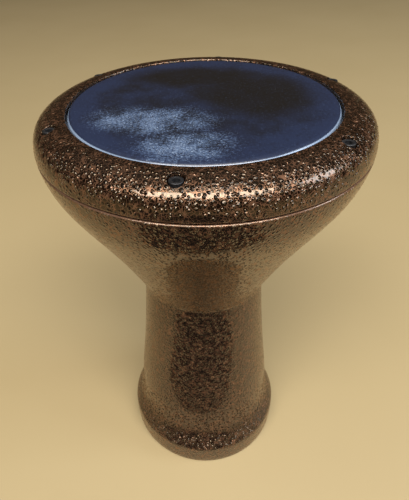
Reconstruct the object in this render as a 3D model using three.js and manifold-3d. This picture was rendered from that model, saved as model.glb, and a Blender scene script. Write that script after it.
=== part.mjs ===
// Goblet drum (darbuka) that stands on its foot: a cast shell, a film head glued into an aluminium
// hoop, and a rounded tuning ring that six recessed cap screws pull down over the hoop.
// Millimetres, +Z up. The origin is the centre of the foot's rim, on the surface it stands on.
// The first screw is on the -Y side, and the others follow every 60 degrees about +Z.
// An outline is a closed run of (radius, height) points that is turned about the Z axis.

import * as THREE from "three";
import { mergeVertices } from "three/addons/utils/BufferGeometryUtils.js";
import Module from "manifold-3d";

const wasm = await Module();
wasm.setup();

// ---------------------------------------------------------------- driving dimensions

const HEIGHT = 426;               // foot to the top of the tuning ring
const RING_RADIUS = 140;          // widest place of the drum
const SHOULDER_HEIGHT = 400;      // flat shelf of the shell, under the tuning ring
const CREASE_HEIGHT = 241;        // where the bowl meets the neck
const NECK_RADIUS = 62;           // narrowest place, at the crease
const FOOT_RADIUS = 91.2;         // widest place of the rounded rim at the bottom
const WALL = 5;                   // cast wall of the shell and of the ring
const GAP = 0.3;                  // left between pieces that rest on each other

const BEARING_RADIUS = 109.2;     // outside of the collar that carries the film
const BEARING_HEIGHT = 425.2;
const BEARING_ROUND = 4;          // rounded outer edge, over which the film bends
const BEARING_THICKNESS = 6;

const FILM_THICKNESS = 0.4;
const FILM_FLARE = THREE.MathUtils.degToRad(18);  // the film's skirt leans out to reach its hoop
const FILM_SKIRT_HEIGHT = 411;    // lower edge of the skirt, inside the hoop's channel

const HOOP_INNER_RADIUS = 109.8;
const HOOP_OUTER_RADIUS = 116;
const HOOP_BOTTOM = 407;
const HOOP_TOP = 417;
const HOOP_INNER_WALL_TOP = 414;
const HOOP_SHEET = 1.15;          // aluminium sheet that the channel is rolled from
const HOOP_FLOOR = 1.6;           // thickness of the channel's floor

const RING_LIP_RADIUS = 111.2;    // a dark gap of about 1 mm shows between the film and the lip
const RING_BOTTOM = 401.5;        // 1.5 mm seam above the shell's shoulder

const SCREW_COUNT = 6;
const SCREW_CIRCLE_RADIUS = 125;
const SCREW_LENGTH = 30;          // M6 x 30 hexagon socket head cap screw
const SCREW_RADIUS = 3;
const SCREW_HEAD_RADIUS = 5;
const SCREW_HEAD_HEIGHT = 6;
const SOCKET_ACROSS_FLATS = 5;
const SOCKET_DEPTH = 3;
const CLEARANCE_RADIUS = 3.3;     // clearance hole for the screw's shank
const COUNTERBORE_RADIUS = 5.8;
const COUNTERBORE_FLOOR = 415.3;
const WASHER_RADIUS = 5.5;
const WASHER_THICKNESS = 1.6;
const INSERT_RADIUS = 4.75;
const INSERT_LENGTH = 14.4;

const TURN_STEPS = 48;            // facets of the big turned pieces
const BOSS_STEPS = 18;
const SMALL_STEPS = 16;

// ---------------------------------------------------------------- outlines

const at = (radius, height) => new THREE.Vector2(radius, height);

// Points of a circular arc, both ends included; the angles are in degrees from the +radius side.
function arc(centreRadius, centreHeight, radius, fromDegrees, toDegrees, steps) {
  const from = THREE.MathUtils.degToRad(fromDegrees);
  const to = THREE.MathUtils.degToRad(toDegrees);
  const clockwise = to < from;
  const curve = new THREE.EllipseCurve(centreRadius, centreHeight, radius, radius, from, to, clockwise);
  return curve.getPoints(steps);
}

const smooth = (points, steps) => new THREE.SplineCurve(points).getPoints(steps);

// The same run of points moved sideways, to the left of the way that it runs.
function offset(points, distance) {
  return points.map((point, index) => {
    const before = points[Math.max(index - 1, 0)];
    const after = points[Math.min(index + 1, points.length - 1)];
    const along = after.clone().sub(before).normalize();
    return at(point.x - along.y * distance, point.y + along.x * distance);
  });
}

// ---------------------------------------------------------------- solids

// A closed outline turned about the Z axis.
function turned(outline, steps = TURN_STEPS) {
  const closed = [...outline, outline[0].clone()];
  return new THREE.LatheGeometry(closed, steps).rotateX(Math.PI / 2);
}

// An upright cylinder or cone frustum between two heights.
function upright(bottomRadius, topRadius, bottom, top, steps) {
  return new THREE.CylinderGeometry(topRadius, bottomRadius, top - bottom, steps)
    .rotateX(Math.PI / 2)
    .translate(0, 0, (bottom + top) / 2);
}

function toManifold(geometry) {
  const bare = geometry.clone();
  bare.deleteAttribute("normal");
  bare.deleteAttribute("uv");
  const merged = mergeVertices(bare, 1e-4);
  const vertProperties = new Float32Array(merged.attributes.position.array);
  const triVerts = withoutSlivers(merged.index.array);
  return new wasm.Manifold(new wasm.Mesh({ numProp: 3, vertProperties, triVerts }));
}

// Triangles that merging has closed up, such as those on an outline's axis points, are left out.
function withoutSlivers(index) {
  const kept = [];
  for (let i = 0; i < index.length; i += 3) {
    const [a, b, c] = index.slice(i, i + 3);
    if (a !== b && b !== c && c !== a) kept.push(a, b, c);
  }
  return new Uint32Array(kept);
}

function toGeometry(solid) {
  const { vertProperties, triVerts } = solid.getMesh();
  const geometry = new THREE.BufferGeometry();
  geometry.setAttribute("position", new THREE.BufferAttribute(vertProperties, 3));
  geometry.setIndex(new THREE.BufferAttribute(triVerts, 1));
  return geometry;
}

// One copy of a geometry at each screw, as a list.
function atEachScrew(geometry) {
  return Array.from({ length: SCREW_COUNT }, (_, index) =>
    geometry
      .clone()
      .translate(0, -SCREW_CIRCLE_RADIUS, 0)
      .rotateZ((index * 2 * Math.PI) / SCREW_COUNT));
}

const joined = (solid, geometries) =>
  geometries.reduce((whole, geometry) => whole.add(toManifold(geometry)), solid);

const cut = (solid, geometries) =>
  geometries.reduce((whole, geometry) => whole.subtract(toManifold(geometry)), solid);

// ---------------------------------------------------------------- shell

// Cast goblet in one piece: foot, neck, bowl, the flat shoulder with six bosses below it for the
// threaded inserts, and the bearing collar that stands up inside the tuning ring.
function shell() {
  const lipRadius = 79;                     // the foot's rim curls inwards and ends in a lip
  const lipRound = 1;
  const lipHeight = 4.4;
  const standRadius = 87;                   // outside of the flat ring that it stands on
  const shoulderRound = 1.2;
  const flangeRound = 3;
  const flangeWidth = 14;                   // of its flat underside, in from the widest place
  const rim = smooth([
    at(standRadius, 0),
    at(90, 1.5),
    at(90.8, 4.5),
    at(FOOT_RADIUS, 10),
    at(FOOT_RADIUS, 25),
    at(90.6, 30),
    at(87.4, 36),
    at(82.8, 44),
    at(79.8, 54),
  ], 3);
  const neck = smooth([
    at(79.8, 54),
    at(78.3, 68),
    at(77.2, 88),
    at(74.5, 112),
    at(71, 140),
    at(67.7, 170),
    at(64.8, 202),
    at(NECK_RADIUS, CREASE_HEIGHT - 3),
  ], 4);
  const bowl = smooth([
    at(NECK_RADIUS + 1.4, CREASE_HEIGHT + 2.5),
    at(76.2, 270),
    at(91.6, 300),
    at(106.4, 326),
    at(120.6, 350),
    at(131.6, 370.5),
    at(137.2, 386),
    at(139.5, SHOULDER_HEIGHT - 3),
  ], 9);
  const flangeUnderside = SHOULDER_HEIGHT - WALL;
  const collarInside = BEARING_RADIUS - BEARING_THICKNESS;
  const edgeCentre = BEARING_RADIUS - BEARING_ROUND;
  const innerEdgeRound = BEARING_THICKNESS - BEARING_ROUND;
  const walls = [...rim, ...neck.slice(1), ...bowl];
  const inside = offset(walls, WALL)
    .filter((point) => point.y > lipHeight + 1 && point.y < flangeUnderside - 2 * flangeRound)
    .reverse();

  const outline = [
    ...walls,
    ...arc(RING_RADIUS - 1.4, SHOULDER_HEIGHT - shoulderRound, shoulderRound, 10, 90, 2),
    at(BEARING_RADIUS, SHOULDER_HEIGHT),
    ...arc(edgeCentre, BEARING_HEIGHT - BEARING_ROUND, BEARING_ROUND, 0, 90, 4),
    ...arc(edgeCentre, BEARING_HEIGHT - innerEdgeRound, innerEdgeRound, 90, 180, 2).slice(1),
    ...arc(collarInside + flangeRound, flangeUnderside + flangeRound, flangeRound, 180, 270, 2),
    at(RING_RADIUS - flangeWidth, flangeUnderside),
    ...inside,
    at(lipRadius + 2 * lipRound, lipHeight),
    at(lipRadius, lipHeight - lipRound),
    at(lipRadius, lipRound),
    at(lipRadius + lipRound, 0),
  ];

  const bossRadius = 8.5;
  const bossTipRadius = 6.5;
  const bossBottom = 378;
  const holeBottom = 381;
  const holeRadius = INSERT_RADIUS + GAP;
  const boss = upright(bossTipRadius, bossRadius, bossBottom, flangeUnderside + 1, BOSS_STEPS);
  const hole = upright(holeRadius, holeRadius, holeBottom, SHOULDER_HEIGHT + 1, BOSS_STEPS);
  const body = joined(toManifold(turned(outline)), atEachScrew(boss));
  return toGeometry(cut(body, atEachScrew(hole)));
}

// ---------------------------------------------------------------- tuning ring

// Rounded cast ring, hollow below. Its lip stands around the film, and its inner underside presses
// on the hoop. Each screw sinks into a counterbore with a boss below it.
function tuningRing() {
  const pressFace = HOOP_TOP + GAP;
  const pressFaceOuter = 119;
  const hollowTop = 420.2;                  // beside the press face
  const lipRound = 1.4;
  const lipHeight = HEIGHT - lipRound;
  const lipFoot = RING_LIP_RADIUS + (lipHeight - pressFace) * Math.tan(FILM_FLARE);
  const crown = smooth([
    at(RING_LIP_RADIUS + 2 * lipRound, HEIGHT),
    at(120, 425.6),
    at(126, 424),
    at(131, 421.5),
    at(135.1, 418.2),
    at(138, 413.8),
    at(139.6, 408),
    at(RING_RADIUS, 403),
  ], 9);
  const inside = offset(crown, -WALL)
    .filter((point) => point.x > pressFaceOuter + 0.5 && point.y > RING_BOTTOM + 2);

  const outline = [
    at(lipFoot, pressFace),
    at(pressFaceOuter, pressFace),
    at(pressFaceOuter, hollowTop),
    ...inside,
    at(RING_RADIUS - WALL, RING_BOTTOM),
    at(RING_RADIUS - 0.8, RING_BOTTOM),
    ...crown.slice().reverse(),
    ...arc(RING_LIP_RADIUS + lipRound, lipHeight, lipRound, 90, 180, 2),
  ];

  const bossRadius = 8.6;
  const bossBottom = 405;
  const bossTop = hollowTop + GAP;
  const boss = upright(bossRadius, bossRadius, bossBottom, bossTop, BOSS_STEPS);
  const counterbore = upright(COUNTERBORE_RADIUS, COUNTERBORE_RADIUS, COUNTERBORE_FLOOR, HEIGHT + 1, BOSS_STEPS);
  const through = upright(CLEARANCE_RADIUS, CLEARANCE_RADIUS, bossBottom - 1, COUNTERBORE_FLOOR + 1, SMALL_STEPS);
  const body = joined(toManifold(turned(outline)), atEachScrew(boss));
  return toGeometry(cut(cut(body, atEachScrew(counterbore)), atEachScrew(through)));
}

// ---------------------------------------------------------------- head

// Polyester film: a flat disc that bends over the bearing edge into a flared skirt.
function headFilm() {
  const centreRadius = BEARING_RADIUS - BEARING_ROUND;
  const centreHeight = BEARING_HEIGHT - BEARING_ROUND;
  const innerRound = BEARING_ROUND + GAP;
  const outerRound = innerRound + FILM_THICKNESS;
  const flareDegrees = THREE.MathUtils.radToDeg(FILM_FLARE);
  const skirtEnd = (bend) => {
    const drop = bend.y - FILM_SKIRT_HEIGHT;
    return at(bend.x + drop * Math.tan(FILM_FLARE), FILM_SKIRT_HEIGHT);
  };
  const outerBend = arc(centreRadius, centreHeight, outerRound, 90, flareDegrees, 3);
  const innerBend = arc(centreRadius, centreHeight, innerRound, flareDegrees, 90, 3);
  const outline = [
    at(0, centreHeight + innerRound),
    ...innerBend.slice().reverse(),
    skirtEnd(innerBend[0]),
    skirtEnd(outerBend[outerBend.length - 1]),
    ...outerBend.slice().reverse(),
    at(0, centreHeight + outerRound),
  ];
  return new THREE.LatheGeometry(outline, TURN_STEPS).rotateX(Math.PI / 2);
}

// Aluminium channel, open at the top, that the film's skirt is glued into.
function headHoop() {
  const outline = [
    at(HOOP_INNER_RADIUS, HOOP_BOTTOM),
    at(HOOP_OUTER_RADIUS, HOOP_BOTTOM),
    at(HOOP_OUTER_RADIUS, HOOP_TOP),
    at(HOOP_OUTER_RADIUS - HOOP_SHEET, HOOP_TOP),
    at(HOOP_OUTER_RADIUS - HOOP_SHEET, HOOP_BOTTOM + HOOP_FLOOR),
    at(HOOP_INNER_RADIUS + HOOP_SHEET, HOOP_BOTTOM + HOOP_FLOOR),
    at(HOOP_INNER_RADIUS + HOOP_SHEET, HOOP_INNER_WALL_TOP),
    at(HOOP_INNER_RADIUS, HOOP_INNER_WALL_TOP),
  ];
  return turned(outline);
}

// ---------------------------------------------------------------- fasteners

const washerBottom = COUNTERBORE_FLOOR + GAP;
const headBottom = washerBottom + WASHER_THICKNESS + GAP;
const insertTop = SHOULDER_HEIGHT - 2 * GAP;

// M6 hexagon socket head cap screw, upright, with its chamfered tip down and a flat of its socket
// towards the drum's outside.
function tuningScrew() {
  const tip = headBottom - SCREW_LENGTH;
  const tipChamfer = 0.7;
  const headTop = headBottom + SCREW_HEAD_HEIGHT;
  const headChamfer = 0.6;
  const outline = [
    at(0, tip),
    at(SCREW_RADIUS - tipChamfer, tip),
    at(SCREW_RADIUS, tip + tipChamfer),
    at(SCREW_RADIUS, headBottom),
    at(SCREW_HEAD_RADIUS, headBottom),
    at(SCREW_HEAD_RADIUS, headTop - headChamfer),
    at(SCREW_HEAD_RADIUS - headChamfer, headTop),
    at(0, headTop),
  ];
  const blank = toManifold(new THREE.LatheGeometry(outline, SMALL_STEPS).rotateX(Math.PI / 2));
  const socketRadius = SOCKET_ACROSS_FLATS / Math.sqrt(3);
  const socket = upright(socketRadius, socketRadius, headTop - SOCKET_DEPTH, headTop + 1, 6)
    .rotateZ(Math.PI / 6);
  return toGeometry(cut(blank, [socket]));
}

// A plain round tube: a washer or a threaded insert.
function tube(innerRadius, outerRadius, bottom, top) {
  const outline = [
    at(innerRadius, bottom),
    at(outerRadius, bottom),
    at(outerRadius, top),
    at(innerRadius, top),
  ];
  return turned(outline, SMALL_STEPS);
}

const screwWasher = () => tube(CLEARANCE_RADIUS, WASHER_RADIUS, washerBottom, washerBottom + WASHER_THICKNESS);
const threadInsert = () => tube(CLEARANCE_RADIUS, INSERT_RADIUS, insertTop - INSERT_LENGTH, insertTop);

// ---------------------------------------------------------------- assembly

const finishes = {
  coat: { color: 0x4b2f20, roughness: 0.35, metalness: 0.4 },
  film: { color: 0x3d4860, roughness: 0.25, metalness: 0 },
  aluminium: { color: 0xb4b6b8, roughness: 0.4, metalness: 1 },
  blackSteel: { color: 0x17171a, roughness: 0.45, metalness: 0.6 },
  steel: { color: 0x8d8f92, roughness: 0.35, metalness: 1 },
};

const drum = new THREE.Group();

function addPiece(name, geometry, finish, parent = drum) {
  const mesh = new THREE.Mesh(geometry, new THREE.MeshStandardMaterial(finishes[finish]));
  mesh.name = name;
  parent.add(mesh);
}

addPiece("shell", shell(), "coat");
addPiece("tuning_ring", tuningRing(), "coat");
addPiece("head_film", headFilm(), "film");
addPiece("head_hoop", headHoop(), "aluminium");

for (let index = 0; index < SCREW_COUNT; index += 1) {
  const angle = (index * 2 * Math.PI) / SCREW_COUNT;
  const station = new THREE.Group();
  station.position.set(SCREW_CIRCLE_RADIUS * Math.sin(angle), -SCREW_CIRCLE_RADIUS * Math.cos(angle), 0);
  station.rotation.z = angle;
  addPiece(`tuning_screw_${index + 1}`, tuningScrew(), "blackSteel", station);
  addPiece(`screw_washer_${index + 1}`, screwWasher(), "blackSteel", station);
  addPiece(`thread_insert_${index + 1}`, threadInsert(), "steel", station);
  drum.add(station);
}

export default drum;
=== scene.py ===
"""Looks of the goblet drum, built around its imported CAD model.

The CAD solids are coarse, so each one is replaced by a finer piece of the same size that rides on the same
body. Outlines are runs of (radius, height) points in millimetres, turned about the Z axis. Sizes that the
CAD model settles are read from its boxes.
"""

import math

import bmesh
import bpy
import numpy as np
from mathutils import Matrix, Vector


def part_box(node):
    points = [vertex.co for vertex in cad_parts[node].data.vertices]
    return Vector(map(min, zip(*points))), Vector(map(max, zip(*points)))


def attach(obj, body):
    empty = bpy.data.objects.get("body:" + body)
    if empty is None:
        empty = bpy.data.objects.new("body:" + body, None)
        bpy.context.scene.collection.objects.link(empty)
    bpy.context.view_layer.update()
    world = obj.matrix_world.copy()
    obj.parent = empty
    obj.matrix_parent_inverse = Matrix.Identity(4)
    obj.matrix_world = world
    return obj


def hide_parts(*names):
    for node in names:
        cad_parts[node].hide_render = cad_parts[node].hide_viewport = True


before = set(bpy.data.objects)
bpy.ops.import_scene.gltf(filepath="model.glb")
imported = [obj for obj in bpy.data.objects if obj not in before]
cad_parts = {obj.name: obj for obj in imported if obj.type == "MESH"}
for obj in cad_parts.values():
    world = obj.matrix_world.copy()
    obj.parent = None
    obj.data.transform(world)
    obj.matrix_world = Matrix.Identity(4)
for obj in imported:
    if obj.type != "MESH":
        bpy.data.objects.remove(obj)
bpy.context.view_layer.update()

MM = 0.001
SCREWS = range(1, 7)

# ---------------------------------------------------------------- sizes read from the frame, in millimetres


def radius_of(node):
    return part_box(node)[1].x / MM


def bottom_of(node):
    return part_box(node)[0].z / MM


def top_of(node):
    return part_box(node)[1].z / MM


def half_width_of(node):
    """Half the width of a piece that stands on the -Y side, so that its width lies along X."""
    low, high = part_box(node)
    return (high.x - low.x) / 2 / MM


RING_RADIUS = radius_of("tuning_ring")
RING_TOP = top_of("tuning_ring")
RING_BOTTOM = bottom_of("tuning_ring")
BEARING_TOP = top_of("shell")
FILM_TOP = top_of("head_film")
FILM_BOTTOM = bottom_of("head_film")
HOOP_RADIUS = radius_of("head_hoop")
HOOP_TOP = top_of("head_hoop")
HOOP_BOTTOM = bottom_of("head_hoop")
HEAD_TOP = top_of("tuning_screw_1")
SCREW_TIP = bottom_of("tuning_screw_1")
HEAD_RADIUS = half_width_of("tuning_screw_1")
WASHER_TOP = top_of("screw_washer_1")
WASHER_BOTTOM = bottom_of("screw_washer_1")
WASHER_RADIUS = half_width_of("screw_washer_1")
INSERT_TOP = top_of("thread_insert_1")
INSERT_BOTTOM = bottom_of("thread_insert_1")
INSERT_RADIUS = half_width_of("thread_insert_1")

# ---------------------------------------------------------------- sizes that repeat the CAD source's

SCREW_CIRCLE = 125
WALL = 5
GAP = 0.3
SHOULDER = 400
CREASE = 241
NECK_RADIUS = 62
FOOT_RADIUS = 91.2
STAND_RADIUS = 87
FOOT_LIP_RADIUS = 79
FOOT_LIP_HEIGHT = 4.4
BEARING_RADIUS = 109.2
BEARING_THICKNESS = 6
BEARING_ROUND = 4
RING_LIP_RADIUS = 111.2
FILM_FLARE = math.radians(18)
FILM_THICKNESS = 0.4
COUNTERBORE_RADIUS = 5.8
CLEARANCE_RADIUS = 3.3
SHANK_RADIUS = 3
SOCKET_ACROSS_FLATS = 5
SOCKET_DEPTH = 3

COLUMNS = 384                # facets of a full turn
PATCH_COLUMNS = 10           # of which this many lie across the patch around a screw
PATCH_ROWS = 10
LOOP_POINTS = 2 * (PATCH_COLUMNS + PATCH_ROWS)

# ---------------------------------------------------------------- outlines


def arc(centre, radius, start, end, steps):
    """Points of a circular arc; the angles are in degrees from the +radius side."""
    angles = [math.radians(start + (end - start) * k / steps) for k in range(steps + 1)]
    return [(centre[0] + radius * math.cos(a), centre[1] + radius * math.sin(a)) for a in angles]


def smooth(points, steps):
    """A Catmull-Rom curve through the points."""
    knots = np.array([points[0], *points, points[-1]], float)
    found = []
    for k in range(len(points) - 1):
        p0, p1, p2, p3 = knots[k:k + 4]
        for t in np.arange(steps) / steps:
            found.append(0.5 * (2 * p1 + (p2 - p0) * t + (2 * p0 - 5 * p1 + 4 * p2 - p3) * t ** 2
                                + (3 * p1 - p0 - 3 * p2 + p3) * t ** 3))
    return [tuple(point) for point in found] + [tuple(points[-1])]


def offset(points, distance):
    """The same run of points moved sideways, to the left of the way that it runs."""
    run = np.array(points, float)
    along = np.gradient(run, axis=0)
    along /= np.linalg.norm(along, axis=1)[:, None]
    return [(r - dz * distance, z + dr * distance) for (r, z), (dr, dz) in zip(run, along)]


# ---------------------------------------------------------------- meshes


def turns_of(columns):
    return 2 * math.pi * np.arange(columns) / columns


class Skin:
    """The points and faces of one piece, in millimetres."""

    def __init__(self):
        self.points = []
        self.faces = []

    def point(self, x, y, z):
        self.points.append((x, y, z))
        return len(self.points) - 1

    def row(self, radius, height, columns=COLUMNS):
        """A full turn about the Z axis, from the -Y side, or the one point on the axis.
        The radius may be a list, with one for each column."""
        if np.ndim(radius) == 0 and radius == 0:
            return [self.point(0, 0, height)]
        turns = turns_of(columns)
        radii = np.broadcast_to(radius, columns)
        return [self.point(r * math.sin(a), -r * math.cos(a), height) for r, a in zip(radii, turns)]

    def join(self, first, second):
        """Faces between two closed rows, either of which may be a single point."""
        count = max(len(first), len(second))
        for k in range(count):
            corners = [first[k % len(first)], first[(k + 1) % len(first)],
                       second[(k + 1) % len(second)], second[k % len(second)]]
            self.faces.append(tuple(dict.fromkeys(corners)))

    def join_all(self, rows, closed=False):
        for first, second in zip(rows, rows[1:]):
            self.join(first, second)
        if closed:
            self.join(rows[-1], rows[0])

    def turn(self, outline, columns=COLUMNS, closed=True):
        """Turns an outline about the Z axis; closed joins its end to its start."""
        self.join_all([self.row(radius, height, columns) for radius, height in outline], closed)

    def piece(self, name, materials, sharp=35):
        mesh = bpy.data.meshes.new(name)
        mesh.from_pydata([tuple(c * MM for c in p) for p in self.points], [], self.faces)
        tidy = bmesh.new()
        tidy.from_mesh(mesh)
        bmesh.ops.recalc_face_normals(tidy, faces=tidy.faces)
        tidy.to_mesh(mesh)
        tidy.free()
        return placed(name, mesh, materials, sharp)


def shade(mesh, sharp=35):
    """Smooth, except where the faces meet at more than this angle in degrees."""
    mesh.shade_smooth()
    mesh.set_sharp_from_angle(angle=math.radians(sharp))


def placed(name, mesh, materials, sharp):
    """An object for a new mesh, with its materials."""
    shade(mesh, sharp)
    for material in materials:
        mesh.materials.append(material)
    thing = bpy.data.objects.new(name, mesh)
    bpy.context.scene.collection.objects.link(thing)
    return thing


def stands_for(piece, node, body):
    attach(piece, body)
    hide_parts(node)


def screw_angle(number):
    return (number - 1) * 2 * math.pi / len(SCREWS)


def screw_centre(number):
    angle = screw_angle(number)
    return SCREW_CIRCLE * math.sin(angle), -SCREW_CIRCLE * math.cos(angle)


def combine(piece, tools, operation):
    """A boolean with each tool in turn, applied to the piece's mesh."""
    for tool in tools:
        change = piece.modifiers.new(operation, "BOOLEAN")
        change.operation = operation
        change.solver = "EXACT"
        change.object = tool
    evaluated = piece.evaluated_get(bpy.context.evaluated_depsgraph_get())
    made = bpy.data.meshes.new_from_object(evaluated)
    piece.modifiers.clear()
    piece.data = made
    for tool in tools:
        bpy.data.objects.remove(tool)


def upright(name, centre, outline, columns=48):
    """A solid turned about an upright line, as a tool for a boolean."""
    skin = Skin()
    skin.turn(outline, columns, closed=False)
    tool = skin.piece(name, [])
    tool.data.transform(Matrix.Translation((centre[0] * MM, centre[1] * MM, 0)))
    return tool


# ---------------------------------------------------------------- a turned face with a hole at each screw


def around_screw(number, radius):
    """Points of a circle around a screw, from the side of its patch's inner left corner, clockwise."""
    x, y = screw_centre(number)
    angles = screw_angle(number) + math.radians(135) - 2 * math.pi * np.arange(LOOP_POINTS) / LOOP_POINTS
    return np.column_stack([x + radius * np.cos(angles), y + radius * np.sin(angles)])


def screw_loop(skin, number, radius, heights):
    """A loop around a screw; its height may change along it."""
    levels = np.broadcast_to(heights, LOOP_POINTS)
    return [skin.point(x, y, z) for (x, y), z in zip(around_screw(number, radius), levels)]


def heights_of(skin, loop):
    return np.array([skin.points[k][2] for k in loop])


def pierced_band(skin, inner_row, outer_row, inner, outer, height_at, hole_radius):
    """Fills between two rows with a face of height height_at(radius) that has a round hole at each screw.
    Returns the loop of each hole, by screw number."""
    radii = np.linspace(inner, outer, PATCH_ROWS + 1)
    half = PATCH_COLUMNS // 2
    grid = {}
    for j, radius in enumerate(radii):
        for column in range(COLUMNS):
            if j == 0:
                grid[j, column] = inner_row[column]
            elif j == PATCH_ROWS:
                grid[j, column] = outer_row[column]
            elif not within_patch(column, half - 1):
                turn = 2 * math.pi * column / COLUMNS
                x, y = radius * math.sin(turn), -radius * math.cos(turn)
                grid[j, column] = skin.point(x, y, height_at(radius))
    for j in range(PATCH_ROWS):
        for column in range(COLUMNS):
            beside = (column + 1) % COLUMNS
            if not (within_patch(column, half) and within_patch(beside, half)):
                corners = (j, column), (j, beside), (j + 1, beside), (j + 1, column)
                skin.faces.append(tuple(grid[corner] for corner in corners))
    return {number: patch(skin, grid, number, height_at, hole_radius) for number in SCREWS}


def within_patch(column, reach):
    """Is a column within reach columns of the nearest screw's?"""
    spacing = COLUMNS // len(SCREWS)
    return (column + reach) % spacing <= 2 * reach


def patch(skin, grid, number, height_at, hole_radius):
    """Loops that go over from the four sides of a screw's patch to its round hole."""
    middle = (number - 1) * COLUMNS // len(SCREWS)
    left, right = middle - PATCH_COLUMNS // 2, middle + PATCH_COLUMNS // 2
    border = [(0, column) for column in range(left, right)]
    border += [(j, right) for j in range(PATCH_ROWS)]
    border += [(PATCH_ROWS, column) for column in range(right, left, -1)]
    border += [(j, left) for j in range(PATCH_ROWS, 0, -1)]
    outside = [grid[j, column % COLUMNS] for j, column in border]
    start = np.array([skin.points[k][:2] for k in outside])
    end = around_screw(number, hole_radius)
    loops = [outside]
    for share in (0.3, 0.56, 0.8, 1):
        places = start + (end - start) * share
        heights = height_at(np.hypot(*places.T))
        loops.append([skin.point(x, y, z) for (x, y), z in zip(places, heights)])
    skin.join_all(loops)
    return loops[-1]


# ---------------------------------------------------------------- the coated castings


def tuning_ring(coat):
    """Rounded ring with six counterbores. It is hollow below, with a boss around each screw."""
    lip_round = 1.4
    lip_draft = 0.6              # the lip's inner face leans out by this much, flare_drop below its round
    flare_drop = 3
    skirt_round = 0.8            # of the ring's bottom edge, outside
    chamfer_width, chamfer_height = 0.4, 0.5     # and inside
    lip_height = RING_TOP - lip_round
    press_face = HOOP_TOP + GAP
    lip_foot = RING_LIP_RADIUS + (lip_height - press_face) * math.tan(FILM_FLARE)
    crown = smooth([(RING_LIP_RADIUS + lip_round, RING_TOP), (RING_LIP_RADIUS + 2 * lip_round, RING_TOP),
                    (120, 425.6), (126, 424), (131, 421.5), (135.1, 418.2), (138, 413.8), (139.6, 408),
                    (RING_RADIUS, 403)], 6)
    hollow = offset(crown, -WALL)
    crown_height = height_on(crown)
    hollow_height = height_on(hollow)
    hollow_start = 118           # where the underside leaves the flat face that presses on the hoop
    hollow_blend = 3.5

    def inside_height(radius):
        share = np.clip((np.asarray(radius) - hollow_start) / hollow_blend, 0, 1)
        share = share * share * (3 - 2 * share)
        return press_face + (hollow_height(radius) - press_face) * share

    skin = Skin()
    top_inner, top_outer = 116.2, 133.8          # the pierced band of the crown
    under_inner, under_outer = 115.4, 134.3      # and that of the hollow below it
    near_crown, near_hollow = 0.4, 0.1           # knots this near to a band are left out
    edge = [(RING_RADIUS - skirt_round * (1 - math.cos(a)), RING_BOTTOM + skirt_round * (1 - math.sin(a)))
            for a in np.linspace(0.2, math.pi / 2, 4)]
    lip = [(lip_foot, press_face), (RING_LIP_RADIUS + lip_draft, lip_height - flare_drop)]
    lip += arc((RING_LIP_RADIUS + lip_round, lip_height), lip_round, 180, 95, 5)
    inner_crown = [p for p in crown if p[0] < top_inner - near_crown] + [(top_inner, crown_height(top_inner))]
    outer_crown = [(top_outer, crown_height(top_outer))] + [p for p in crown if p[0] > top_outer + near_crown]
    rising = [p for p in reversed(hollow) if p[0] > under_outer + near_hollow and p[1] > RING_BOTTOM + 1]
    inner_wall = RING_RADIUS - WALL
    underside = [(inner_wall + chamfer_width, RING_BOTTOM), (inner_wall, RING_BOTTOM + chamfer_height)]
    underside += rising + [(under_outer, inside_height(under_outer))]

    first = [skin.row(*p) for p in lip + inner_crown]
    second = [skin.row(*p) for p in outer_crown + edge + underside]
    third = skin.row(under_inner, inside_height(under_inner))
    skin.join_all(first)
    skin.join_all(second)
    skin.join(third, first[0])
    fillet = 0.45
    tops = pierced_band(skin, first[-1], second[0], top_inner, top_outer, crown_height,
                        COUNTERBORE_RADIUS + fillet)
    boss_radius = 8.6
    bottoms = pierced_band(skin, third, second[-1], under_inner, under_outer, inside_height, boss_radius)
    for number in SCREWS:
        counterbore(skin, number, tops[number], bottoms[number], boss_radius, fillet)
    return skin.piece("ring_casting", [coat])


def height_on(outline):
    """The height of a crowned outline at any radius along it."""
    run = np.array(sorted(outline))
    return lambda radius: np.interp(radius, run[:, 0], run[:, 1])


def counterbore(skin, number, top, bottom, boss_radius, fillet):
    """The counterbore, clearance hole and boss between the ring's top face and its hollow."""
    floor = WASHER_BOTTOM - GAP
    boss_bottom = 405
    chamfer = 0.3
    upper = heights_of(skin, top)
    loops = [top]
    for turn in (math.pi / 6, math.pi / 3, math.pi / 2):
        radius = COUNTERBORE_RADIUS + fillet * (1 - math.sin(turn))
        loops.append(screw_loop(skin, number, radius, upper - fillet * (1 - math.cos(turn))))
    for share in (0.33, 0.67, 1):
        levels = (upper - fillet) * (1 - share) + (floor + chamfer) * share
        loops.append(screw_loop(skin, number, COUNTERBORE_RADIUS, levels))
    profile = [(COUNTERBORE_RADIUS - chamfer, floor), (CLEARANCE_RADIUS + chamfer, floor),
               (CLEARANCE_RADIUS, floor - chamfer), (CLEARANCE_RADIUS, boss_bottom + chamfer),
               (CLEARANCE_RADIUS + chamfer, boss_bottom), (boss_radius - chamfer, boss_bottom),
               (boss_radius, boss_bottom + chamfer)]
    for radius, height in profile:
        loops.append(screw_loop(skin, number, radius, height))
    lower = heights_of(skin, bottom)
    for share in (0.4, 0.8):
        levels = (boss_bottom + chamfer) * (1 - share) + lower * share
        loops.append(screw_loop(skin, number, boss_radius, levels))
    skin.join_all(loops + [bottom])


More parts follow.
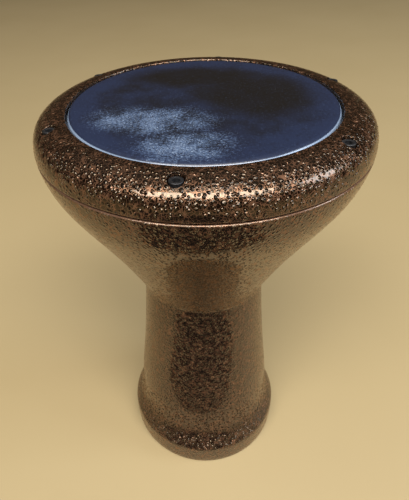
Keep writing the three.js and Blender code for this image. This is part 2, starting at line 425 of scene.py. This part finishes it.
def shell_outside():
    """The shell's outside from the foot up to the shoulder, and its walls alone."""
    edge_round = 1.2
    edge_inset = 1.4             # of the round's centre from the widest place
    spline_steps, bowl_steps = 7, 12
    foot = [(STAND_RADIUS, 0), (90, 1.5), (90.8, 4.5), (FOOT_RADIUS, 10), (FOOT_RADIUS, 25), (90.6, 30),
            (87.4, 36), (82.8, 44), (79.8, 54)]
    neck = [(78.3, 68), (77.2, 88), (74.5, 112), (71, 140), (67.7, 170), (64.8, 202),
            (NECK_RADIUS + 0.1, CREASE - 5)]
    crease = [(NECK_RADIUS, CREASE - 2.2), (NECK_RADIUS + 0.3, CREASE + 0.4)]
    bowl = [(NECK_RADIUS + 1.4, CREASE + 2.5), (76.2, 270), (91.6, 300), (106.4, 326), (120.6, 350),
            (131.6, 370.5), (137.2, 386), (139.5, SHOULDER - 3)]
    walls = smooth(foot + neck, spline_steps) + crease + smooth(bowl, bowl_steps)
    shoulder = arc((RING_RADIUS - edge_inset, SHOULDER - edge_round), edge_round, 10, 90, 6)
    return walls + shoulder, walls


def shell_casting(coat, bare):
    """Foot, neck, bowl, shoulder and bearing collar, with a boss and a hole for each threaded insert."""
    outside, walls = shell_outside()
    flange = SHOULDER - WALL
    flange_round = 3
    flange_rows = (112, 119, 125)                # along its flat underside
    shoulder_rows = (136, 133, 125, 117, 112)    # along its flat top
    corner_round = 3.5                           # where the underside meets the bowl's wall
    corner_centre = (RING_RADIUS - 10.5, flange - corner_round)
    collar_fillet = 1                            # between the shoulder and the bearing collar
    collar_inside = BEARING_RADIUS - BEARING_THICKNESS
    edge_centre = BEARING_RADIUS - BEARING_ROUND
    inner_round = BEARING_THICKNESS - BEARING_ROUND
    inside = [p for p in offset(walls, WALL) if FOOT_LIP_HEIGHT + 1 < p[1] < flange - 2 * flange_round]
    outline = list(outside)
    outline += [(r, SHOULDER) for r in shoulder_rows]
    outline += arc((BEARING_RADIUS + collar_fillet, SHOULDER + collar_fillet), collar_fillet, -90, -180, 3)
    outline += arc((edge_centre, BEARING_TOP - BEARING_ROUND), BEARING_ROUND, 0, 90, 8)
    outline += arc((edge_centre, BEARING_TOP - inner_round), inner_round, 90, 180, 4)[1:]
    outline += arc((collar_inside + flange_round, flange + flange_round), flange_round, 180, 270, 5)
    outline += [(r, flange) for r in flange_rows]
    outline += arc(corner_centre, corner_round, 90, 20, 4)
    outline += inside[::-1]
    lip_round = 1
    outline += [(FOOT_LIP_RADIUS + 2 * lip_round, FOOT_LIP_HEIGHT)]
    outline += arc((FOOT_LIP_RADIUS + lip_round, FOOT_LIP_HEIGHT - lip_round), lip_round, 90, 180, 3)
    outline += arc((FOOT_LIP_RADIUS + lip_round, lip_round), lip_round, 180, 270, 3)
    skin = Skin()
    skin.turn(outline)
    casting = skin.piece("shell_casting", [coat, bare])

    boss_bottom = 378
    boss_chamfer = 0.8
    boss_end, boss_root = 6.5, 8.5               # its radii, as it tapers down from the flange
    hole_bottom = 381
    into_flange = flange + 2
    boss_outline = [(0, boss_bottom), (boss_end - boss_chamfer, boss_bottom),
                    (boss_end, boss_bottom + boss_chamfer), (boss_root - 0.2, flange - 1.5),
                    (boss_root, into_flange), (0, into_flange)]
    hole_radius = INSERT_RADIUS + GAP
    break_edge = 0.4
    hole_outline = [(0, hole_bottom), (hole_radius, hole_bottom), (hole_radius, SHOULDER - break_edge),
                    (hole_radius + 2 * break_edge, SHOULDER + break_edge), (0, SHOULDER + break_edge)]
    centres = [screw_centre(number) for number in SCREWS]
    combine(casting, [upright("boss", c, boss_outline) for c in centres], "UNION")
    combine(casting, [upright("hole", c, hole_outline) for c in centres], "DIFFERENCE")
    bare_inside(casting.data, outside)
    shade(casting.data)
    return casting


def bare_inside(mesh, outside):
    """Gives the second material to the faces that line the hollow and the insert holes."""
    run = np.array([p for p in outside if p[1] > 0])
    run = run[np.argsort(run[:, 1])]
    depth = 2.5
    collar_limit = BEARING_RADIUS - BEARING_THICKNESS + 0.5
    for face in mesh.polygons:
        x, y, z = face.center / MM
        below_shoulder = z < SHOULDER - 1
        limit = np.interp(z, run[:, 1], run[:, 0]) - depth if below_shoulder else collar_limit
        face.material_index = int(math.hypot(x, y) < limit and z > 1)


# ---------------------------------------------------------------- the head


def head_film(film):
    """Polyester film: a flat disc that bends over the bearing edge into a flared skirt."""
    centre = (BEARING_RADIUS - BEARING_ROUND, BEARING_TOP - BEARING_ROUND)
    outer_round = FILM_TOP - centre[1]
    inner_round = outer_round - FILM_THICKNESS
    flare = math.degrees(FILM_FLARE)
    outer_bend = arc(centre, outer_round, 90, flare, 10)
    inner_bend = arc(centre, inner_round, flare, 90, 10)

    def skirt_end(bend):
        return bend[0] + (bend[1] - FILM_BOTTOM) * math.tan(FILM_FLARE), FILM_BOTTOM

    flat = (0, 20, 40, 60, 80, 95)
    outline = [(r, FILM_TOP) for r in flat]
    outline += outer_bend
    outline += [skirt_end(outer_bend[-1]), skirt_end(inner_bend[0])]
    outline += inner_bend
    outline += [(r, FILM_TOP - FILM_THICKNESS) for r in flat[::-1]]
    skin = Skin()
    skin.turn(outline, closed=False)
    return skin.piece("film_disc", [film], sharp=50)


def head_hoop(aluminium):
    """Rolled channel with rounded corners, open at the top, that the film's skirt is glued into."""
    inner = 109.8
    inner_top = 414
    sheet = 1.15
    floor = HOOP_BOTTOM + 1.6
    corner = 0.8
    outline = arc((inner + corner, HOOP_BOTTOM + corner), corner, 180, 270, 4)
    outline += arc((HOOP_RADIUS - corner, HOOP_BOTTOM + corner), corner, 270, 360, 4)
    outline += arc((HOOP_RADIUS - sheet / 2, HOOP_TOP - sheet / 2), sheet / 2, 0, 180, 6)
    outline += arc((HOOP_RADIUS - sheet - corner, floor + corner), corner, 0, -90, 3)
    outline += arc((inner + sheet + corner, floor + corner), corner, 270, 180, 3)
    outline += arc((inner + sheet / 2, inner_top - sheet / 2), sheet / 2, 0, 180, 6)
    skin = Skin()
    skin.turn(outline, 256)
    return skin.piece("rolled_hoop", [aluminium])


# ---------------------------------------------------------------- fasteners

SMALL_COLUMNS = 48


def knurled(radius, depth):
    """Radii of a row whose columns are ridges and grooves by turns."""
    return [radius - depth * (column % 2) for column in range(SMALL_COLUMNS)]


def hexagon(across_flats):
    """Radii of a hexagonal row, with a flat side towards the row's first column."""
    sixth = math.pi / 3
    from_flat = [(turn + sixth / 2) % sixth - sixth / 2 for turn in turns_of(SMALL_COLUMNS)]
    return [across_flats / 2 / math.cos(turn) for turn in from_flat]


def threaded(core, crest, pitch, height):
    """Radii of one row of a right-handed V thread."""
    phase = (height / pitch - turns_of(SMALL_COLUMNS) / (2 * math.pi)) % 1
    return core + (crest - core) * (1 - np.abs(2 * phase - 1))


def screw_rows(skin):
    """M6 cap screw on the Z axis: chamfered tip, thread, knurled head and hexagon socket."""
    pitch, core = 1.0, 2.5
    head_bottom = WASHER_TOP + GAP
    chamfer = 0.6
    knurl = 0.16
    thread_start, thread_end = SCREW_TIP + 0.7, head_bottom - 1.6
    rows = [(0, SCREW_TIP), (core - 0.3, SCREW_TIP)]
    for height in np.arange(thread_start, thread_end, pitch / 6):
        rows.append((threaded(core, SHANK_RADIUS, pitch, height), height))
    rows += [(SHANK_RADIUS - 0.1, thread_end + 0.4), (SHANK_RADIUS, head_bottom - 0.3),
             (SHANK_RADIUS + 0.25, head_bottom), (HEAD_RADIUS - 0.4, head_bottom),
             (HEAD_RADIUS, head_bottom + 0.4), (HEAD_RADIUS, head_bottom + 0.7)]
    side = knurled(HEAD_RADIUS, knurl)
    rows += [(side, head_bottom + 0.9), (side, HEAD_TOP - chamfer - 0.5),
             (HEAD_RADIUS, HEAD_TOP - chamfer - 0.3)]
    rows += arc((HEAD_RADIUS - chamfer, HEAD_TOP - chamfer), chamfer, 0, 90, 4)
    countersink = SOCKET_ACROSS_FLATS / math.sqrt(3) + 0.25
    socket = hexagon(SOCKET_ACROSS_FLATS)
    floor = HEAD_TOP - SOCKET_DEPTH
    drill_radius, drill_depth = 1.4, 0.7
    rows += [(countersink + 0.3, HEAD_TOP), (countersink, HEAD_TOP - 0.05), (socket, HEAD_TOP - 0.3),
             (socket, HEAD_TOP - SOCKET_DEPTH / 2), (socket, floor), (drill_radius, floor),
             (0, floor - drill_depth)]
    skin.join_all([skin.row(radius, height, SMALL_COLUMNS) for radius, height in rows])


def washer_rows(skin):
    outer_round = 0.3
    chamfer = 0.2
    outline = arc((WASHER_RADIUS - outer_round, WASHER_BOTTOM + outer_round), outer_round, -90, 0, 2)
    outline += arc((WASHER_RADIUS - outer_round, WASHER_TOP - outer_round), outer_round, 0, 90, 2)
    outline += [(CLEARANCE_RADIUS + chamfer, WASHER_TOP), (CLEARANCE_RADIUS, WASHER_TOP - chamfer),
                (CLEARANCE_RADIUS, WASHER_BOTTOM + chamfer), (CLEARANCE_RADIUS + chamfer, WASHER_BOTTOM)]
    skin.turn(outline, SMALL_COLUMNS)


def insert_rows(skin):
    """Press-in insert with two knurled bands and a groove between them."""
    groove = INSERT_RADIUS - 0.5
    knurl = knurled(INSERT_RADIUS, 0.25)
    middle = (INSERT_TOP + INSERT_BOTTOM) / 2
    rows = [(CLEARANCE_RADIUS, INSERT_BOTTOM), (groove - 0.1, INSERT_BOTTOM), (groove, INSERT_BOTTOM + 0.8),
            (knurl, INSERT_BOTTOM + 1.2), (knurl, middle - 1), (groove, middle - 0.6), (groove, middle + 0.6),
            (knurl, middle + 1), (knurl, INSERT_TOP - 1)]
    rows += [(INSERT_RADIUS, INSERT_TOP - 0.8), (INSERT_RADIUS, INSERT_TOP - 0.2),
             (INSERT_RADIUS - 0.2, INSERT_TOP), (CLEARANCE_RADIUS + 0.5, INSERT_TOP),
             (CLEARANCE_RADIUS, INSERT_TOP - 0.5)]
    skin.join_all([skin.row(radius, height, SMALL_COLUMNS) for radius, height in rows], closed=True)


def at_screw(name, number, rows, materials):
    """A piece that rows() makes on the Z axis, moved to its screw and turned to face outwards."""
    skin = Skin()
    rows(skin)
    thing = skin.piece(f"{name}_{number}", materials, sharp=30)
    x, y = screw_centre(number)
    place = Matrix.Translation((x * MM, y * MM, 0)) @ Matrix.Rotation(screw_angle(number), 4, "Z")
    thing.data.transform(place)
    return thing


# ---------------------------------------------------------------- materials


class Look:
    """A node material; each method adds a node and returns the socket to link on."""

    def __init__(self, name):
        self.material = bpy.data.materials.new(name)
        self.material.use_nodes = True
        self.tree = self.material.node_tree
        self.shader = self.tree.nodes["Principled BSDF"]
        coordinates = self.tree.nodes.new("ShaderNodeTexCoord").outputs["Object"]
        self.place = self.vector("SCALE", coordinates, scale=1 / MM)     # in millimetres

    def add(self, kind, inputs, output=0, **settings):
        node = self.tree.nodes.new(kind)
        for key, value in settings.items():
            setattr(node, key, value)
        for key, value in inputs.items():
            self.feed(node.inputs[key], value)
        return node.outputs[output]

    def feed(self, socket, value):
        if isinstance(value, bpy.types.NodeSocket):
            self.tree.links.new(value, socket)
        else:
            socket.default_value = value

    def vector(self, operation, a, b=None, scale=None):
        inputs = {0: a}
        if b is not None:
            inputs[1] = b
        if scale is not None:
            inputs["Scale"] = scale
        output = "Value" if operation == "LENGTH" else "Vector"
        return self.add("ShaderNodeVectorMath", inputs, output, operation=operation)

    def math(self, operation, a, b=0.5, clamp=False):
        return self.add("ShaderNodeMath", {0: a, 1: b}, operation=operation, use_clamp=clamp)

    def step(self, value, low, high, to_low=0.0, to_high=1.0):
        """A smooth step from to_low, where value is low, to to_high, where it is high."""
        inputs = {"Value": value, "From Min": low, "From Max": high, "To Min": to_low, "To Max": to_high}
        return self.add("ShaderNodeMapRange", inputs, interpolation_type="SMOOTHSTEP")

    def noise(self, place, size, detail=2.0, rough=0.5, output="Fac", distortion=0.0):
        """Noise whose lumps are about this many millimetres across."""
        inputs = {"Vector": place, "Scale": 1 / size, "Detail": detail, "Roughness": rough,
                  "Distortion": distortion}
        return self.add("ShaderNodeTexNoise", inputs, output)

    def cells(self, place, size, feature="F1"):
        """Irregular cells about this many millimetres across."""
        inputs = {"Vector": place, "Scale": 1 / size, "Randomness": 1.0}
        return self.add("ShaderNodeTexVoronoi", inputs, "Distance", feature=feature)

    def mix(self, share, a, b):
        """From colour a, where share is 0, to colour b."""
        inputs = {"Factor": share, 6: a, 7: b}
        return self.add("ShaderNodeMix", inputs, 2, data_type="RGBA")

    def warped(self, size, reach):
        """The place, pushed about by noise of this size by up to reach millimetres."""
        push = self.noise(self.place, size, output="Color")
        push = self.vector("SUBTRACT", push, (0.5, 0.5, 0.5))
        return self.vector("ADD", self.place, self.vector("SCALE", push, scale=2 * reach))

    def bump(self, height, depth):
        """Relief of this depth in millimetres where height goes from 0 to 1."""
        inputs = {"Height": height, "Distance": depth * MM, "Strength": 1.0}
        return self.add("ShaderNodeBump", inputs, "Normal")

    def finish(self, **inputs):
        for key, value in inputs.items():
            self.feed(self.shader.inputs[key.replace("_", " ")], value)
        return self.material


def hammered_coat():
    """Copper-vein hammer finish: dark glossy lumps with metallic copper showing in the veins between.
    It is smooth and a little rubbed along the edges of the seam; the paler colour there is partly a painted
    highlight."""
    look = Look("hammered_coat")
    lump_size = 2.9
    lump_height = 0.8
    place = look.warped(4.0, 0.9)
    lump = look.cells(place, lump_size)
    edge = look.cells(place, lump_size, feature="DISTANCE_TO_EDGE")
    grain = look.noise(look.place, 0.6, detail=3)
    drift = look.noise(look.place, 6, detail=3, rough=0.7)
    worm = look.noise(place, 7, detail=1.5, distortion=0.8)
    worm = look.math("ABSOLUTE", look.math("SUBTRACT", worm, 0.5))
    streak = look.math("MULTIPLY", look.step(worm, 0.034, 0.018), look.step(drift, 0.48, 0.58))
    width = look.step(drift, 0.36, 0.68, 0.02, 0.085)
    vein = look.step(look.math("DIVIDE", edge, width), 1.0, 0.4)
    vein = look.math("MAXIMUM", vein, streak)
    level = look.add("ShaderNodeSeparateXYZ", {0: look.place}, 2)
    seam = (SHOULDER + RING_BOTTOM) / 2
    from_seam = look.math("ABSOLUTE", look.math("SUBTRACT", level, seam))
    lumpy = look.step(from_seam, 1.0, 2.2)
    # paler colour along the seam's edges: rubbed coat, and partly a painted highlight of the shoulder's edge
    rubbed = (0.2, 0.13, 0.1, 1)
    copper = look.mix(grain, (0.072, 0.036, 0.022, 1), (0.33, 0.2, 0.14, 1))
    dark = look.mix(grain, (0.0015, 0.001, 0.0008, 1), (0.006, 0.0036, 0.0027, 1))
    colour = look.mix(vein, dark, copper)
    colour = look.mix(lumpy, look.mix(0.5, colour, rubbed), colour)
    dome = look.math("MULTIPLY", look.step(lump, 0.52, 0.0), lumpy)
    height = look.math("ADD", dome, look.math("MULTIPLY", grain, 0.06))
    metal = look.math("MULTIPLY", vein, 0.85)
    gloss = look.step(drift, 0.2, 0.8, 0.07, 0.13)
    roughness = look.math("ADD", look.math("MULTIPLY", vein, 0.28), gloss)
    return look.finish(Base_Color=colour, Metallic=metal, Roughness=roughness,
                       Normal=look.bump(height, lump_height), Specular_Tint=(1, 0.78, 0.52, 1),
                       Coat_Weight=0.5, Coat_Roughness=0.05, Coat_Tint=(1, 0.8, 0.58, 1),
                       Coat_Normal=look.bump(dome, 0.7))


def bare_casting():
    """Inside of the shell: sand-cast metal under a thin, dull dark spray."""
    look = Look("bare_casting")
    pits = look.noise(look.place, 1.1, detail=5, rough=0.65)
    cloud = look.noise(look.place, 35, detail=4)
    colour = look.mix(cloud, (0.018, 0.014, 0.012, 1), (0.05, 0.038, 0.03, 1))
    colour = look.mix(look.step(pits, 0.58, 0.72), colour, (0.11, 0.085, 0.065, 1))
    return look.finish(Base_Color=colour, Metallic=0.3, Roughness=look.step(pits, 0.3, 0.7, 0.5, 0.75),
                       Normal=look.bump(pits, 0.3))


def worn_film():
    """Dark polyester film, hazed by dust and playing, with pale scuffs where the fingers land."""
    look = Look("worn_film")
    flat = look.vector("MULTIPLY", look.place, (1, 1, 0))
    wavy = look.vector("MULTIPLY", look.warped(38, 16), (1, 1, 0))
    radius = look.vector("LENGTH", flat)

    def blot(x, y, half_x, half_y, soft):
        """1 within an ellipse about a point of the film, and 0 well outside it, with a wavy edge."""
        away = look.vector("SUBTRACT", wavy, (x, y, 0))
        away = look.vector("LENGTH", look.vector("DIVIDE", away, (half_x, half_y, 1)))
        return look.step(away, 1 + soft, 1 - soft)

    cloud = look.noise(flat, 26, detail=4, rough=0.6)
    fine = look.noise(flat, 2.2, detail=5, rough=0.85)
    scuffed = look.math("MAXIMUM", blot(-34, -46, 46, 24, 0.5), blot(0, -84, 34, 22, 0.5))
    scuffed = look.math("MULTIPLY", scuffed, look.step(cloud, 0.3, 0.62, 0.45, 1))
    clear = look.math("MAXIMUM", blot(46, 18, 52, 44, 0.4), blot(-14, 58, 66, 26, 0.4))
    mottled = look.step(fine, 0.25, 0.65, 0.55, 1)
    haze = look.math("MULTIPLY", look.step(cloud, 0.3, 0.72, 0.25, 0.95), mottled)
    haze = look.math("MULTIPLY", haze, look.math("SUBTRACT", 1.0, look.math("MULTIPLY", clear, 0.85)))
    border = look.math("MULTIPLY", look.step(radius, 74, 106), look.step(fine, 0.3, 0.7, 0.25, 0.9))
    haze = look.math("ADD", haze, border, clamp=True)
    dusty = look.math("ADD", fine, look.math("MULTIPLY", scuffed, 0.25))
    smear = look.step(dusty, 0.56, 0.82)
    specks = look.noise(flat, 1.15, detail=2.5, rough=0.7)
    specks = look.step(look.math("ADD", specks, look.math("MULTIPLY", scuffed, 0.17)), 0.7, 0.82)
    colour = look.mix(haze, (0.0075, 0.0068, 0.006, 1), (0.0128, 0.0192, 0.045, 1))
    colour = look.mix(smear, colour, (0.066, 0.103, 0.184, 1))
    colour = look.mix(specks, colour, (0.32, 0.4, 0.53, 1))
    bend = look.step(radius, BEARING_RADIUS - 0.9, BEARING_RADIUS - 0.3)       # a painted highlight: the bright line along its bent edge
    colour = look.mix(bend, colour, (0.2, 0.27, 0.39, 1))
    roughness = look.math("MAXIMUM", look.step(haze, 0, 1, 0.14, 0.26), look.math("MULTIPLY", smear, 0.4))
    height = look.math("ADD", look.noise(flat, 55, detail=1), look.math("MULTIPLY", specks, 0.02))
    return look.finish(Base_Color=colour, Roughness=roughness, Normal=look.bump(height, 0.25))


def rolled_aluminium():
    """Bright channel with fine rolling lines around it."""
    look = Look("rolled_aluminium")
    lines = look.noise(look.vector("MULTIPLY", look.place, (0.02, 0.02, 1)), 0.12, detail=3)
    cloud = look.noise(look.place, 18, detail=3)
    colour = look.mix(cloud, (0.52, 0.53, 0.54, 1), (0.68, 0.69, 0.7, 1))
    return look.finish(Base_Color=colour, Metallic=1.0, Roughness=look.step(lines, 0.3, 0.7, 0.28, 0.46),
                       Normal=look.bump(lines, 0.02))


def black_oxide():
    """Blackened steel, with brighter metal where a key or a washer has rubbed."""
    look = Look("black_oxide")
    cloud = look.noise(look.place, 1.6, detail=4, rough=0.6)
    colour = look.mix(cloud, (0.016, 0.017, 0.019, 1), (0.05, 0.052, 0.058, 1))
    rubbed = look.step(look.noise(look.place, 0.5, detail=4, rough=0.7), 0.62, 0.72)
    colour = look.mix(rubbed, colour, (0.16, 0.16, 0.17, 1))
    return look.finish(Base_Color=colour, Metallic=0.7, Roughness=look.step(cloud, 0.3, 0.7, 0.32, 0.48),
                       Normal=look.bump(cloud, 0.03))


def plain_steel():
    """Turned steel of the threaded inserts."""
    look = Look("plain_steel")
    lines = look.noise(look.vector("MULTIPLY", look.place, (0.1, 0.1, 1)), 0.15, detail=3)
    cloud = look.noise(look.place, 3, detail=3)
    colour = look.mix(cloud, (0.3, 0.3, 0.31, 1), (0.46, 0.46, 0.47, 1))
    return look.finish(Base_Color=colour, Metallic=1.0, Roughness=look.step(lines, 0.3, 0.7, 0.25, 0.42),
                       Normal=look.bump(lines, 0.02))


def floor_paint():
    look = Look("floor_paint")
    cloud = look.noise(look.place, 400, detail=3)
    colour = look.mix(cloud, (0.315, 0.246, 0.128, 1), (0.353, 0.28, 0.154, 1))
    return look.finish(Base_Color=colour, Roughness=0.55)


# ---------------------------------------------------------------- the stage


BOWL_MIDDLE = (0, 0, 0.3)


def aim(thing, target):
    direction = Vector(target) - thing.location
    thing.rotation_euler = direction.to_track_quat("-Z", "Y").to_euler()


def soft_light(name, azimuth, elevation, distance, width, depth, watts, colour):
    """A flat light that faces the drum. Azimuth 0 is on the -Y side, and 90 on the +X side."""
    turn, rise = math.radians(azimuth), math.radians(elevation)
    data = bpy.data.lights.new(name, "AREA")
    data.shape = "RECTANGLE"
    data.size = width
    data.size_y = depth
    data.energy = watts
    data.color = colour
    light = bpy.data.objects.new(name, data)
    reach = distance * math.cos(rise)
    light.location = (reach * math.sin(turn), -reach * math.cos(turn), distance * math.sin(rise))
    bpy.context.scene.collection.objects.link(light)
    aim(light, BOWL_MIDDLE)


def flat_stage(name, corners, height, material):
    """A flat four-sided piece of the stage."""
    mesh = bpy.data.meshes.new(name)
    mesh.from_pydata([(x, y, height) for x, y in corners], [], [(0, 1, 2, 3)])
    mesh.materials.append(material)
    piece = bpy.data.objects.new(name, mesh)
    bpy.context.scene.collection.objects.link(piece)
    return piece


def floor():
    half = 12
    flat_stage("floor", [(-half, -half), (half, -half), (half, half), (-half, half)], 0, floor_paint())


def dark_card():
    """Black card on the floor in front, where the photographer stood. Only reflections show it."""
    look = Look("card_paint")
    shade_of_black = look.mix(look.noise(look.place, 300), (0.008, 0.006, 0.005, 1), (0.016, 0.012, 0.01, 1))
    paint = look.finish(Base_Color=shade_of_black, Roughness=0.9)
    # the card stands for the photographer's dark feet, and is painted shade for the shadow they cast there
    card = flat_stage("dark_card", [(-0.16, -0.15), (-0.9, -1.6), (0.9, -1.6), (0.24, -0.15)], 0.001, paint)
    card.visible_camera = False
    card.visible_diffuse = False
    card.visible_shadow = False


def surroundings():
    """A dim warm room under a brighter ceiling. Past the floor the camera sees a plain pale backdrop."""
    room_colour = (0.045, 0.032, 0.02, 1)
    ceiling_colour = (0.24, 0.215, 0.18, 1)
    backdrop_colour = (0.42, 0.35, 0.25, 1)
    ceiling_start, ceiling_full = 0.45, 0.9      # how far up the direction points, from 0 to 1
    world = bpy.data.worlds.new("room")
    world.use_nodes = True
    nodes, links = world.node_tree.nodes, world.node_tree.links

    def background(colour):
        node = nodes.new("ShaderNodeBackground")
        node.inputs["Color"].default_value = colour
        return node.outputs[0]

    def mixed(share, first, second):
        node = nodes.new("ShaderNodeMixShader")
        for socket, value in zip(node.inputs, (share, first, second)):
            links.new(value, socket)
        return node.outputs[0]

    upward = nodes.new("ShaderNodeSeparateXYZ")
    links.new(nodes.new("ShaderNodeTexCoord").outputs["Generated"], upward.inputs[0])
    ceiling = nodes.new("ShaderNodeMapRange")
    ceiling.interpolation_type = "SMOOTHSTEP"
    ceiling.inputs["From Min"].default_value = ceiling_start
    ceiling.inputs["From Max"].default_value = ceiling_full
    links.new(upward.outputs["Z"], ceiling.inputs["Value"])
    room = mixed(ceiling.outputs[0], background(room_colour), background(ceiling_colour))
    seen = nodes.new("ShaderNodeLightPath").outputs["Is Camera Ray"]
    links.new(mixed(seen, room, background(backdrop_colour)), nodes["World Output"].inputs["Surface"])
    bpy.context.scene.world = world
    bpy.context.scene.view_settings.view_transform = "Standard"


def camera():
    """Stands where the photograph was taken from: close, above the head, and a little to the +X side."""
    azimuth = math.radians(7.5)
    distance = 0.36366
    height = 0.56229
    pan = math.radians(3.62)
    pitch = math.radians(-38.89)
    roll = math.radians(-2.55)
    data = bpy.data.cameras.new("camera")
    data.sensor_width = 36
    data.lens = 32.4
    data.shift_x = 0.047
    data.clip_start = 0.01
    view = bpy.data.objects.new("camera", data)
    turned = Matrix.Rotation(azimuth + pan, 4, "Z") @ Matrix.Rotation(math.pi / 2 + pitch, 4, "X")
    turned = turned @ Matrix.Rotation(roll, 4, "Z")
    place = Matrix.Translation((distance * math.sin(azimuth), -distance * math.cos(azimuth), height))
    view.matrix_world = place @ turned
    bpy.context.scene.collection.objects.link(view)
    bpy.context.scene.camera = view


# ---------------------------------------------------------------- assembly

coat = hammered_coat()
black = black_oxide()
steel = plain_steel()

stands_for(shell_casting(coat, bare_casting()), "shell", "goblet")
stands_for(tuning_ring(coat), "tuning_ring", "ring_assembly")
stands_for(head_film(worn_film()), "head_film", "goblet")
stands_for(head_hoop(rolled_aluminium()), "head_hoop", "ring_assembly")
for number in SCREWS:
    screw = at_screw("cap_screw", number, screw_rows, [black])
    stands_for(screw, f"tuning_screw_{number}", f"screw_{number}")
    washer = at_screw("washer", number, washer_rows, [black])
    stands_for(washer, f"screw_washer_{number}", "ring_assembly")
    insert = at_screw("insert", number, insert_rows, [steel])
    stands_for(insert, f"thread_insert_{number}", "goblet")

floor()
dark_card()
surroundings()
soft_light("key", azimuth=10, elevation=60, distance=4.4, width=5.6, depth=1.6, watts=440,
           colour=(1, 0.95, 0.88))
soft_light("window", azimuth=92, elevation=36, distance=4.8, width=1.8, depth=1.6, watts=95,
           colour=(0.78, 0.88, 1))
soft_light("overhead", azimuth=5, elevation=77, distance=5.2, width=2.4, depth=1.6, watts=26,
           colour=(1, 0.93, 0.83))
camera()
